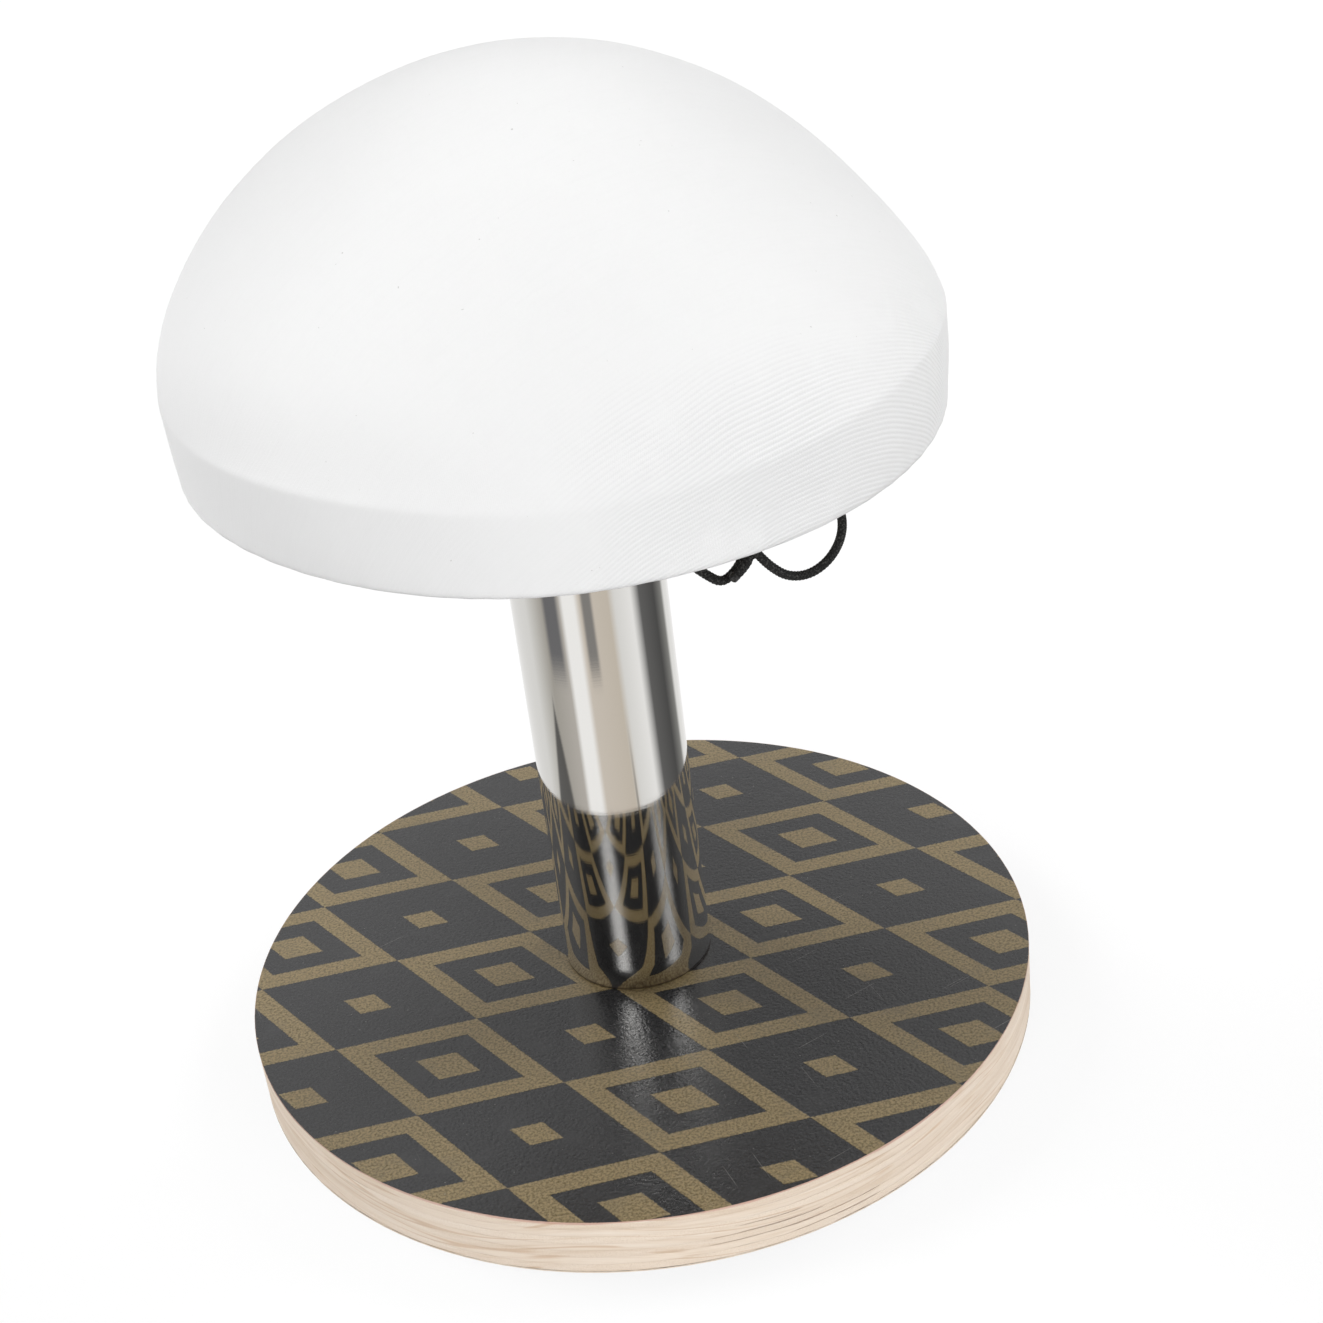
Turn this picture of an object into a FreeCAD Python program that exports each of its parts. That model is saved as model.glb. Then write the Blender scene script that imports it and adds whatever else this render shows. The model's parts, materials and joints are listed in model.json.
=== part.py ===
import FreeCAD, Part
import math
import os

# An ironing stool: a padded dome on a polished post over a round plywood base.
# Millimetres, +Z up, origin at the centre of the base's underside. The bow of the
# drawstring hangs towards -Y, a little to the right.

Vector = FreeCAD.Vector
ORIGIN = Vector(0, 0, 0)
UP = Vector(0, 0, 1)

# Base: a plywood disc with a resin film on both faces
base_diameter = 203.0
base_core_thickness = 14.7
film_thickness = 0.3

# Post: a polished tube
post_diameter = 38.0
post_wall = 1.2
post_length = 152.0

# Spigots: turned plugs that centre the tube at both ends
spigot_height = 19.0
spigot_clearance = 0.1
spigot_chamfer = 1.0

# Wood screws that hold each spigot to its board
screw_diameter = 3.5
screw_head_diameter = 7.0
screw_grip = 6.0
screw_tip_length = 4.0
screw_edge_distance = 5.2
screw_clearance = 0.1

# Tie rod, nuts and washers that clamp the tube between the two boards
rod_diameter = 6.0
rod_hole_clearance = 0.3
rod_past_nut = 0.8
thread_clearance = 0.1
nut_across_flats = 10.0
nut_height = 5.0
nut_chamfer = 0.5
washer_diameter = 18.0
washer_thickness = 1.6
washer_clearance = 0.2
recess_clearance = 2.0
recess_margin = 0.6

# Head board: the plywood disc under the padding
head_board_diameter = 168.8
head_board_thickness = 15.0
head_board_round = 2.0

# Padding and cover: a firm dome, a felt layer and a cotton cover
felt_thickness = 2.5
felt_lift = 3.5
cover_thickness = 0.8
layer_gap = 0.2
crease_above_board = 2.8
dome_rise = 65.7
band_draw_in = 0.7
cover_lower_round = 4.0

# Hem: the tunnel of cloth under the board, with the drawstring in it
hem_set_in = 10.4
hem_width = 8.0
hem_round = 1.2
cord_diameter = 2.0
cord_slack = 0.3

# Bow: where the cord leaves the hem and is tied
bow_azimuth = 27.3
mouth_half_angle = 9.0
mouth_lead = 6.0
knot_diameter = 5.6
knot_drop = 5.2
knot_gap = 0.25
arc_share = 0.45

# Routes of the bow from the knot's middle: across to the right, outwards, up.
# A loop's first and last points and a tail's first one lie at the knot's surface.
right_loop_route = [
    (1.75, 0.0, -2.5),
    (4.6, 0.0, -6.4),
    (8.6, 0.0, -10.2),
    (14.2, 0.0, -11.8),
    (19.9, -0.2, -10.2),
    (23.9, -0.8, -6.0),
    (25.0, -2.4, -0.8),
    (21.6, -4.4, 1.4),
    (15.8, -5.4, 0.6),
    (9.8, -4.8, -0.2),
    (5.0, -2.9, 0.0),
    (2.6, -1.5, 0.3),
]
left_loop_route = [
    (-1.7, -0.6, -2.45),
    (-3.7, -1.0, -5.0),
    (-7.0, -1.0, -6.2),
    (-10.2, -1.2, -3.4),
    (-13.6, -2.4, 0.4),
    (-15.4, -5.6, 1.8),
    (-12.6, -8.4, 2.2),
    (-8.2, -8.0, 2.0),
    (-4.8, -5.0, 1.2),
    (-2.2, -2.0, 0.5),
]
left_tail_route = [
    (-1.75, 1.85, -1.7),
    (-3.0, 1.8, -2.9),
    (-4.35, 1.5, -4.05),
    (-5.7, 1.35, -4.8),
]
right_tail_route = [
    (0.6, -2.4, -1.75),
    (1.2, -5.2, -2.8),
    (1.0, -8.6, -4.6),
    (2.2, -12.0, -5.2),
]

# Heights and radii that follow from the sizes above
base_radius = base_diameter / 2
base_core_top = film_thickness + base_core_thickness
base_top = base_core_top + film_thickness
head_bottom = base_top + post_length
head_top = head_bottom + head_board_thickness
head_board_radius = head_board_diameter / 2
lower_spigot_top = base_top + spigot_height
upper_spigot_bottom = head_bottom - spigot_height
spigot_radius = post_diameter / 2 - post_wall - spigot_clearance
rod_radius = rod_diameter / 2
rod_hole_radius = rod_radius + rod_hole_clearance
rod_reach = washer_thickness + nut_height + rod_past_nut
recess_radius = washer_diameter / 2 + recess_clearance
lower_seat = rod_reach + recess_margin
upper_seat = head_top - rod_reach - recess_margin
screw_length = spigot_height + screw_grip
screw_offset = spigot_radius - screw_edge_distance

felt_inset = cover_thickness + layer_gap
core_inset = felt_inset + felt_thickness + layer_gap
crease_radius = head_board_radius + core_inset
crease_height = head_top + crease_above_board
dome_radius = (crease_radius ** 2 + dome_rise ** 2) / (2 * dome_rise)
dome_centre = crease_height + dome_rise - dome_radius
cover_inner_bottom = head_bottom - layer_gap
cover_bottom = cover_inner_bottom - cover_thickness

hem_radius = head_board_radius - hem_set_in
hem_height = cord_diameter + 2 * cord_slack + 2 * cover_thickness
hem_middle = cover_inner_bottom - hem_height / 2

bow_angle = math.radians(bow_azimuth)
bow_out = Vector(math.sin(bow_angle), -math.cos(bow_angle), 0)
bow_across = Vector(math.cos(bow_angle), math.sin(bow_angle), 0)
knot_centre = bow_out * hem_radius + UP * (hem_middle - knot_drop)


def cylinder(radius, bottom, top):
    return Part.makeCylinder(radius, top - bottom, UP * bottom)


def unit(vector):
    return Vector(vector).normalize()


def rounded_edges(points, radii):
    """Straight runs joined by tangent arcs, with one radius for each inner point."""
    edges = []
    start = points[0]
    for before, corner, after, radius in zip(points, points[1:], points[2:], radii):
        arriving = unit(corner - before)
        leaving = unit(after - corner)
        half_turn = arriving.getAngle(leaving) / 2
        reach = radius * math.tan(half_turn)
        arc_start = corner - arriving * reach
        arc_end = corner + leaving * reach
        bulge = radius * (1 / math.cos(half_turn) - 1)
        arc_middle = corner + unit(leaving - arriving) * bulge
        edges.append(Part.LineSegment(start, arc_start).toShape())
        edges.append(Part.Arc(arc_start, arc_middle, arc_end).toShape())
        start = arc_end
    edges.append(Part.LineSegment(start, points[-1]).toShape())
    return edges


def turned(edges):
    """A solid of revolution about the Z axis from the edges of a closed profile."""
    return Part.Face(Part.Wire(edges)).revolve(ORIGIN, UP, 360)


def lines(points):
    return [Part.LineSegment(a, b).toShape() for a, b in zip(points, points[1:])]


def closed_lines(points):
    return lines(points + points[:1])


def profile_point(radius, height):
    return Vector(radius, 0, height)


def base_board():
    board = cylinder(base_radius, film_thickness, base_core_top)
    board = board.cut(cylinder(recess_radius, 0, lower_seat))
    board = board.cut(cylinder(rod_hole_radius, 0, base_top))
    return cut_all(board, lower_screws(screw_clearance))


def base_top_film():
    film = cylinder(base_radius, base_core_top, base_top)
    film = film.cut(cylinder(rod_hole_radius, 0, base_top))
    return cut_all(film, lower_screws(screw_clearance))


def base_bottom_film():
    film = cylinder(base_radius, 0, film_thickness)
    return film.cut(cylinder(recess_radius, 0, film_thickness))


def post_tube():
    outside = cylinder(post_diameter / 2, base_top, head_bottom)
    return outside.cut(cylinder(post_diameter / 2 - post_wall, base_top, head_bottom))


def spigot(seat, free_end, screws):
    """A turned plug from its seat on a board to its chamfered free end, holed for rod and screws."""
    inwards = spigot_chamfer if seat > free_end else -spigot_chamfer
    plug = turned(closed_lines([
        profile_point(rod_hole_radius, seat),
        profile_point(spigot_radius, seat),
        profile_point(spigot_radius, free_end + inwards),
        profile_point(spigot_radius - spigot_chamfer, free_end),
        profile_point(rod_hole_radius, free_end),
    ]))
    return cut_all(plug, screws)


def wood_screw(head_height, direction, side, extra):
    """A countersunk screw, its head's face at head_height; extra widens it to make its hole."""
    shank = screw_diameter / 2 + extra
    head = screw_head_diameter / 2 + extra
    screw = turned(closed_lines([
        profile_point(0, 0),
        profile_point(head, 0),
        profile_point(shank, head - shank),
        profile_point(shank, screw_length - screw_tip_length),
        profile_point(0, screw_length + extra),
    ]))
    if direction < 0:
        screw.rotate(ORIGIN, Vector(1, 0, 0), 180)
    screw.translate(Vector(side * screw_offset, 0, head_height))
    return screw


def lower_screws(extra):
    return [wood_screw(lower_spigot_top, -1, side, extra) for side in (-1, 1)]


def upper_screws(extra):
    return [wood_screw(upper_spigot_bottom, 1, side, extra) for side in (-1, 1)]


def cut_all(shape, tools):
    for tool in tools:
        shape = shape.cut(tool)
    return shape


def tie_rod():
    rod = cylinder(rod_radius, lower_seat - rod_reach, upper_seat + rod_reach)
    ends = [edge for edge in rod.Edges if edge.Curve.TypeId == "Part::GeomCircle"]
    return rod.makeChamfer(rod_past_nut, ends)


def nut(bottom):
    """A hexagon nut with its corners turned off at both faces."""
    corner_radius = nut_across_flats / math.sqrt(3)
    corners = [
        Vector(
            corner_radius * math.cos(math.radians(60 * k)),
            corner_radius * math.sin(math.radians(60 * k)),
            bottom,
        )
        for k in range(6)
    ]
    prism = Part.Face(Part.makePolygon(corners + corners[:1])).extrude(UP * nut_height)
    envelope = turned(closed_lines([
        profile_point(0, bottom),
        profile_point(nut_across_flats / 2, bottom),
        profile_point(corner_radius, bottom + nut_chamfer),
        profile_point(corner_radius, bottom + nut_height - nut_chamfer),
        profile_point(nut_across_flats / 2, bottom + nut_height),
        profile_point(0, bottom + nut_height),
    ]))
    thread = cylinder(rod_radius + thread_clearance, bottom, bottom + nut_height)
    return prism.common(envelope).cut(thread)


def washer(bottom):
    ring = cylinder(washer_diameter / 2, bottom, bottom + washer_thickness)
    return ring.cut(cylinder(rod_radius + washer_clearance, bottom, bottom + washer_thickness))


def head_board():
    board = cylinder(head_board_radius, head_bottom, head_top)
    lower_edge = [edge for edge in board.Edges if edge.BoundBox.ZMax < head_top - head_board_round]
    board = board.makeFillet(head_board_round, lower_edge)
    board = board.cut(cylinder(recess_radius, upper_seat, head_top))
    board = board.cut(cylinder(rod_hole_radius, head_bottom, head_top))
    return cut_all(board, upper_screws(screw_clearance))


def head_form(inset, bottom, draw_in, lower_round):
    """The head's outside, moved inwards by inset: a dome, a crease and a band down to bottom."""
    radius = dome_radius - inset
    corner = crease_radius - inset
    corner_height = dome_centre + math.sqrt(radius ** 2 - corner ** 2)
    half_angle = math.asin(corner / radius) / 2
    apex = profile_point(0, dome_centre + radius)
    shoulder = profile_point(
        radius * math.sin(half_angle),
        dome_centre + radius * math.cos(half_angle),
    )
    crease = profile_point(corner, corner_height)
    drop_share = (corner_height - bottom) / (crease_height - cover_bottom)
    lower_corner = profile_point(corner - draw_in * drop_share, bottom)
    foot = profile_point(0, bottom)
    dome_edge = Part.Arc(apex, shoulder, crease).toShape()
    if lower_round > 0:
        band = rounded_edges([crease, lower_corner, foot], [lower_round])
    else:
        band = lines([crease, lower_corner, foot])
    return turned([dome_edge] + band + [Part.LineSegment(foot, apex).toShape()])


def dome_core():
    return head_form(core_inset, head_top, 0, 0)


def felt_pad():
    felt_bottom = head_bottom + felt_lift
    outside = head_form(felt_inset, felt_bottom, band_draw_in, 0)
    return outside.cut(head_form(felt_inset + felt_thickness, felt_bottom, 0, 0))


def cover():
    outside = head_form(0, cover_bottom, band_draw_in, cover_lower_round)
    inner_round = cover_lower_round - cover_thickness
    inside = head_form(cover_thickness, cover_inner_bottom, band_draw_in, inner_round)
    mouth_radius = hem_radius + hem_width / 2 + layer_gap
    return outside.cut(inside).cut(cylinder(mouth_radius, cover_bottom, cover_inner_bottom))


def hem_casing():
    """The tunnel of cloth round the board's underside, open at the bow."""
    inner = hem_radius - hem_width / 2
    outer = hem_radius + hem_width / 2
    low = hem_middle - hem_height / 2
    high = hem_middle + hem_height / 2
    corners = [
        profile_point(hem_radius, low),
        profile_point(outer, low),
        profile_point(outer, high),
        profile_point(inner, high),
        profile_point(inner, low),
        profile_point(hem_radius, low),
    ]
    outline = Part.Wire(rounded_edges(corners, [hem_round] * 4))
    bore_radius = cord_diameter / 2 + cord_slack
    bore = Part.Wire(Part.makeCircle(bore_radius, profile_point(hem_radius, hem_middle), Vector(0, 1, 0)))
    section = Part.makeFace([outline, bore], "Part::FaceMakerBullseye")
    first_end = bow_azimuth - 90 + mouth_half_angle
    section.rotate(ORIGIN, UP, first_end)
    return section.revolve(ORIGIN, UP, 360 - 2 * mouth_half_angle)


def bow_place(point):
    across, out, up = point
    return knot_centre + bow_across * across + bow_out * out + UP * up


def at_knot(point):
    """The place at the knot's surface that lies towards a point."""
    return knot_centre + unit(point - knot_centre) * (knot_diameter / 2 + knot_gap)


def cord_edges(points):
    """A cord's path: each arc is as large as the runs beside it allow."""
    radii = []
    for before, corner, after in zip(points, points[1:], points[2:]):
        half_turn = (corner - before).getAngle(after - corner) / 2
        shorter = min((corner - before).Length, (after - corner).Length)
        radii.append(arc_share * shorter / math.tan(half_turn))
    return rounded_edges(points, radii), radii


def cord_tube(name, edges, radii):
    path = Part.Wire(edges)
    start = edges[0].valueAt(edges[0].FirstParameter)
    ring = Part.Wire(Part.makeCircle(cord_diameter / 2, start, edges[0].tangentAt(edges[0].FirstParameter)))
    tube = path.makePipeShell([ring], True, False)
    ideal = math.pi * cord_diameter ** 2 / 4 * path.Length
    print(name, "length", round(path.Length, 1), "radii", [round(r, 1) for r in radii],
          "volume over section times length", round(tube.Volume / ideal, 4))
    return tube


def bow_loop(name, route):
    points = [bow_place(point) for point in route]
    edges, radii = cord_edges([at_knot(points[0])] + points[1:-1] + [at_knot(points[-1])])
    return cord_tube(name, edges, radii)


def bow_tail(name, route):
    points = [bow_place(point) for point in route]
    edges, radii = cord_edges([at_knot(points[0])] + points[1:])
    return cord_tube(name, edges, radii)


def hem_point(angle):
    return Vector(hem_radius * math.sin(angle), -hem_radius * math.cos(angle), hem_middle)


def lead_in(side):
    """From the knot's side out to the hem's mouth: the cord's points and the ring's end."""
    mouth_angle = bow_angle + side * math.radians(mouth_half_angle)
    mouth = hem_point(mouth_angle)
    towards_bow = Vector(math.cos(mouth_angle), math.sin(mouth_angle), 0) * -side
    corner = mouth + towards_bow * mouth_lead
    return [at_knot(corner), corner, mouth]


def drawstring():
    """The cord in the hem: all round the board, and down to the knot at both ends."""
    right_edges, right_radii = cord_edges(lead_in(1))
    left_edges, left_radii = cord_edges(list(reversed(lead_in(-1))))
    far_side = hem_point(bow_angle + math.pi)
    ring = Part.Arc(lead_in(1)[-1], far_side, lead_in(-1)[-1]).toShape()
    radii = right_radii + [hem_radius] + left_radii
    return cord_tube("drawstring", right_edges + [ring] + left_edges, radii)


def bow_knot():
    return Part.makeSphere(knot_diameter / 2, knot_centre)


parts = {
    "base_board": base_board(),
    "base_top_film": base_top_film(),
    "base_bottom_film": base_bottom_film(),
    "post_tube": post_tube(),
    "lower_spigot": spigot(base_top, lower_spigot_top, lower_screws(screw_clearance)),
    "upper_spigot": spigot(head_bottom, upper_spigot_bottom, upper_screws(screw_clearance)),
    "tie_rod": tie_rod(),
    "lower_washer": washer(lower_seat - washer_thickness),
    "lower_nut": nut(lower_seat - washer_thickness - nut_height),
    "upper_washer": washer(upper_seat),
    "upper_nut": nut(upper_seat + washer_thickness),
    "head_board": head_board(),
    "dome_core": dome_core(),
    "felt_pad": felt_pad(),
    "cover": cover(),
    "hem_casing": hem_casing(),
    "drawstring": drawstring(),
    "bow_knot": bow_knot(),
    "bow_right_loop": bow_loop("bow_right_loop", right_loop_route),
    "bow_left_loop": bow_loop("bow_left_loop", left_loop_route),
    "bow_right_tail": bow_tail("bow_right_tail", right_tail_route),
    "bow_left_tail": bow_tail("bow_left_tail", left_tail_route),
}
for number, screw in enumerate(lower_screws(0), 1):
    parts[f"lower_spigot_screw_{number}"] = screw
for number, screw in enumerate(upper_screws(0), 1):
    parts[f"upper_spigot_screw_{number}"] = screw

os.makedirs("parts", exist_ok=True)
for name, shape in parts.items():
    print(name, "valid" if shape.isValid() else "INVALID", len(shape.Solids), round(shape.Volume, 1))
    shape.exportStep(f"parts/{name}.step")
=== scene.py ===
import json
import math

import bmesh
import bpy
import numpy as np
from mathutils import Matrix, Vector

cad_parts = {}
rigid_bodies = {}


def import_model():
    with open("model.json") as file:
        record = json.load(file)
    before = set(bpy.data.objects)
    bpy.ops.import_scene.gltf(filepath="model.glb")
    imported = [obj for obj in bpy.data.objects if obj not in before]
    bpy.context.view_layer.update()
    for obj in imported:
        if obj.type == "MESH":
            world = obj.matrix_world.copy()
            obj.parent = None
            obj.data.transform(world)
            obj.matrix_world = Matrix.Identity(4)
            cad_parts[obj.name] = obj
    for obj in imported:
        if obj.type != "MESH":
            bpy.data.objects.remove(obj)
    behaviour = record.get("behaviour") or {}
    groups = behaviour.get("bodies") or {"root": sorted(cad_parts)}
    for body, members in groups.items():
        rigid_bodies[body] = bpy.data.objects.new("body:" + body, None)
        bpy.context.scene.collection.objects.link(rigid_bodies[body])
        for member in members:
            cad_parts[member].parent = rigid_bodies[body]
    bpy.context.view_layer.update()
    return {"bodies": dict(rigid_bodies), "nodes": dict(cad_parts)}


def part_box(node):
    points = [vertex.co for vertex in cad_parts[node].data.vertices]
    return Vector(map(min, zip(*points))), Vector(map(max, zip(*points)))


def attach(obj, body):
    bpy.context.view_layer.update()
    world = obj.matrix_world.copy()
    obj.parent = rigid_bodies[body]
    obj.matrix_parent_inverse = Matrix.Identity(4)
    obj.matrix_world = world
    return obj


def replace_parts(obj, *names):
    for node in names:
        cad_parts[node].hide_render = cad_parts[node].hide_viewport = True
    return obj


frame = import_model()

MM = 0.001
TURN = 2 * math.pi

# Sizes that the frame gives, in metres
BODY = next(iter(frame["bodies"]))
BASE_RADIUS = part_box("base_board")[1][0]
BOARD_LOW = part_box("base_board")[0][2]
BOARD_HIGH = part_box("base_board")[1][2]
BASE_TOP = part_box("base_top_film")[1][2]
RECESS_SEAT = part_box("lower_washer")[1][2]
POST_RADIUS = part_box("post_tube")[1][0]
HEAD_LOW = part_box("head_board")[0][2]
HEAD_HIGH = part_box("head_board")[1][2]
COVER_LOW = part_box("cover")[0][2]
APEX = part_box("cover")[1][2]
CREASE_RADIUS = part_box("cover")[1][0]
HEM_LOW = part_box("hem_casing")[0][2]
HEM_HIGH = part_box("hem_casing")[1][2]
HEM_OUTER = -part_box("hem_casing")[0][0]
KNOT = (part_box("bow_knot")[0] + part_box("bow_knot")[1]) / 2

# Sizes repeated from the solids' source
POST_WALL = 0.0012
ROD_HOLE_RADIUS = 0.0033
RECESS_RADIUS = 0.011
CREASE_ABOVE_BOARD = 0.0028
BAND_DRAW_IN = 0.0007
COVER_THICKNESS = 0.0008
LAYER_GAP = 0.0002
FELT_THICKNESS = 0.0025
FELT_LIFT = 0.0035
HEM_WIDTH = 0.008
CORD_RADIUS = 0.001
BOW_AZIMUTH = math.radians(27.3)
MOUTH_HALF_ANGLE = math.radians(9)
MOUTH_LEAD = 0.006

# The bow's routes from the knot's middle, as in the solids: across, outwards, up
RIGHT_LOOP = MM * np.array([
    (1.75, 0, -2.5), (4.6, 0, -6.4), (8.6, 0, -10.2), (14.2, 0, -11.8),
    (19.9, -0.2, -10.2), (23.9, -0.8, -6), (25, -2.4, -0.8), (21.6, -4.4, 1.4),
    (15.8, -5.4, 0.6), (9.8, -4.8, -0.2), (5, -2.9, 0), (2.6, -1.5, 0.3),
])
LEFT_LOOP = MM * np.array([
    (-1.7, -0.6, -2.45), (-3.7, -1, -5), (-7, -1, -6.2), (-10.2, -1.2, -3.4),
    (-13.6, -2.4, 0.4), (-15.4, -5.6, 1.8), (-12.6, -8.4, 2.2), (-8.2, -8, 2),
    (-4.8, -5, 1.2), (-2.2, -2, 0.5),
])
LEFT_TAIL = MM * np.array([
    (-1.75, 1.85, -1.7), (-3, 1.8, -2.9), (-4.35, 1.5, -4.05), (-5.7, 1.35, -4.8),
])
RIGHT_TAIL = MM * np.array([
    (0.6, -2.4, -1.75), (1.2, -5.2, -2.8), (1, -8.6, -4.6), (2.2, -12, -5.2),
])


def added(name, data):
    """A new object in the scene."""
    made = bpy.data.objects.new(name, data)
    bpy.context.scene.collection.objects.link(made)
    return made


# Camera: the place and lens that the photograph's ellipses give
CAMERA_PLACE = Vector((0, -0.459, 0.3566))
CAMERA_YAW = math.radians(1.9009)
CAMERA_PITCH = math.radians(29.2817)
CAMERA_ROLL = math.radians(7.112)
FOCAL_PIXELS = 2150.4
PHOTO_PIXELS = 1323


def make_camera():
    forward = Vector((
        math.sin(CAMERA_YAW) * math.cos(CAMERA_PITCH),
        math.cos(CAMERA_YAW) * math.cos(CAMERA_PITCH),
        -math.sin(CAMERA_PITCH),
    ))
    right = Vector((math.cos(CAMERA_YAW), -math.sin(CAMERA_YAW), 0))
    up = right.cross(forward)
    across = right * math.cos(CAMERA_ROLL) - up * math.sin(CAMERA_ROLL)
    upright = right * math.sin(CAMERA_ROLL) + up * math.cos(CAMERA_ROLL)
    data = bpy.data.cameras.new("camera")
    data.lens = data.sensor_width * FOCAL_PIXELS / PHOTO_PIXELS
    data.clip_start = 0.01
    camera = added("camera", data)
    turned = Matrix((across, upright, -forward)).transposed().to_4x4()
    camera.matrix_world = Matrix.Translation(CAMERA_PLACE) @ turned
    bpy.context.scene.camera = camera


# Node graphs
def new_node(tree, kind, inputs, settings, stops=()):
    """The outputs of a new node: settings and a ramp's stops come first, then values or links."""
    made = tree.nodes.new(kind)
    for key, value in settings.items():
        setattr(made, key, value)
    if stops:
        ramp = made.color_ramp.elements
        for position, _ in stops[1:-1]:
            ramp.new(position)
        for stop, (position, shade) in zip(ramp, stops):
            stop.position = position
            stop.color = shade
    for key, value in inputs.items():
        if isinstance(value, bpy.types.NodeSocket):
            tree.links.new(value, made.inputs[key])
        else:
            made.inputs[key].default_value = value
    return made.outputs


class Value:
    """A shader socket that can be calculated with."""

    def __init__(self, shader, socket):
        self.shader = shader
        self.socket = socket

    def maths(self, operation, *others):
        inputs = dict(enumerate((self, *others)))
        return self.shader.node("Math", inputs, operation=operation)

    def __add__(self, other):
        return self.maths("ADD", other)

    def __sub__(self, other):
        return self.maths("SUBTRACT", other)

    def __rsub__(self, other):
        return self.shader.node("Math", {0: other, 1: self}, operation="SUBTRACT")

    def __mul__(self, other):
        return self.maths("MULTIPLY", other)

    __radd__ = __add__
    __rmul__ = __mul__

    def __truediv__(self, other):
        return self.maths("DIVIDE", other)

    def __rtruediv__(self, other):
        return self.shader.node("Math", {0: other, 1: self}, operation="DIVIDE")

    def fract(self):
        return self.maths("FRACT")

    def abs(self):
        return self.maths("ABSOLUTE")

    def sin(self):
        return self.maths("SINE")

    def largest(self, other):
        return self.maths("MAXIMUM", other)

    def rise(self, low, high):
        """0 at low and 1 at high, with a smooth rise between them; high may be the lower one."""
        inputs = {"Value": self, "From Min": low, "From Max": high}
        return self.shader.node("MapRange", inputs, interpolation_type="SMOOTHSTEP")


class Shader:
    """The node graph of a new material, or of another owner, with places in millimetres."""

    def __init__(self, name, owner=None):
        self.material = owner or bpy.data.materials.new(name)
        self.material.use_nodes = True
        self.tree = self.material.node_tree
        self.tree.nodes.clear()

    def node(self, kind, inputs, output=0, stops=(), **settings):
        inputs = {key: getattr(value, "socket", value) for key, value in inputs.items()}
        outputs = new_node(self.tree, "ShaderNode" + kind, inputs, settings, stops)
        return Value(self, outputs[output])

    def split(self, vector):
        return [self.node("SeparateXYZ", {0: vector}, output=k) / MM for k in range(3)]

    def place(self):
        return self.split(self.node("TexCoord", {}, output="Object"))

    def whole_place(self):
        return self.vector(*self.place())

    def cloth_place(self):
        return self.split(self.node("UVMap", {}, uv_map="cloth"))[:2]

    def vector(self, *parts):
        return self.node("CombineXYZ", dict(enumerate(parts)))

    def noise(self, vector, scale, detail=2.0, roughness=0.5):
        inputs = {"Vector": vector, "Scale": scale, "Detail": detail, "Roughness": roughness}
        return self.node("TexNoise", inputs)

    def cells(self, vector, scale):
        return self.node("TexVoronoi", {"Vector": vector, "Scale": scale}, feature="SMOOTH_F1")

    def mix(self, factor, first, second):
        inputs = {0: factor, 6: first, 7: second}
        return self.node("Mix", inputs, output=2, data_type="RGBA")

    def bump(self, height, distance, strength=1.0):
        inputs = {"Height": height, "Distance": distance, "Strength": strength}
        return self.node("Bump", inputs)

    def finish(self, **inputs):
        named = {key.replace("_", " ").title(): value for key, value in inputs.items()}
        named = {key.replace("Ior", "IOR"): value for key, value in named.items()}
        return self.shown(self.node("BsdfPrincipled", named))

    def shown(self, surface, kind="OutputMaterial"):
        new_node(self.tree, "ShaderNode" + kind, {"Surface": surface.socket}, {})
        return self.material


def colour(red, green, blue):
    return (red, green, blue, 1.0)


def grey(shade):
    return colour(shade, shade, shade)


def from_axis(x, y):
    return (x * x + y * y).maths("SQRT")


# White ribbed cotton
RIB_PITCH = 1.06
YARN_PITCH = 0.55
RIB_DIRECTION = math.radians(24)
RIB_BEND = 0.0026
SLACK_SIDE = math.radians(42)
DRAWN_SIDE = math.radians(21)
COTTON_WHITE = grey(0.865)
# The colour of the shade painted into the rib valleys
PAINTED_RIB_SHADE = colour(0.76, 0.76, 0.765)
COTTON_SLUB = grey(0.8)
LINT = colour(0.4, 0.39, 0.37)


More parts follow.
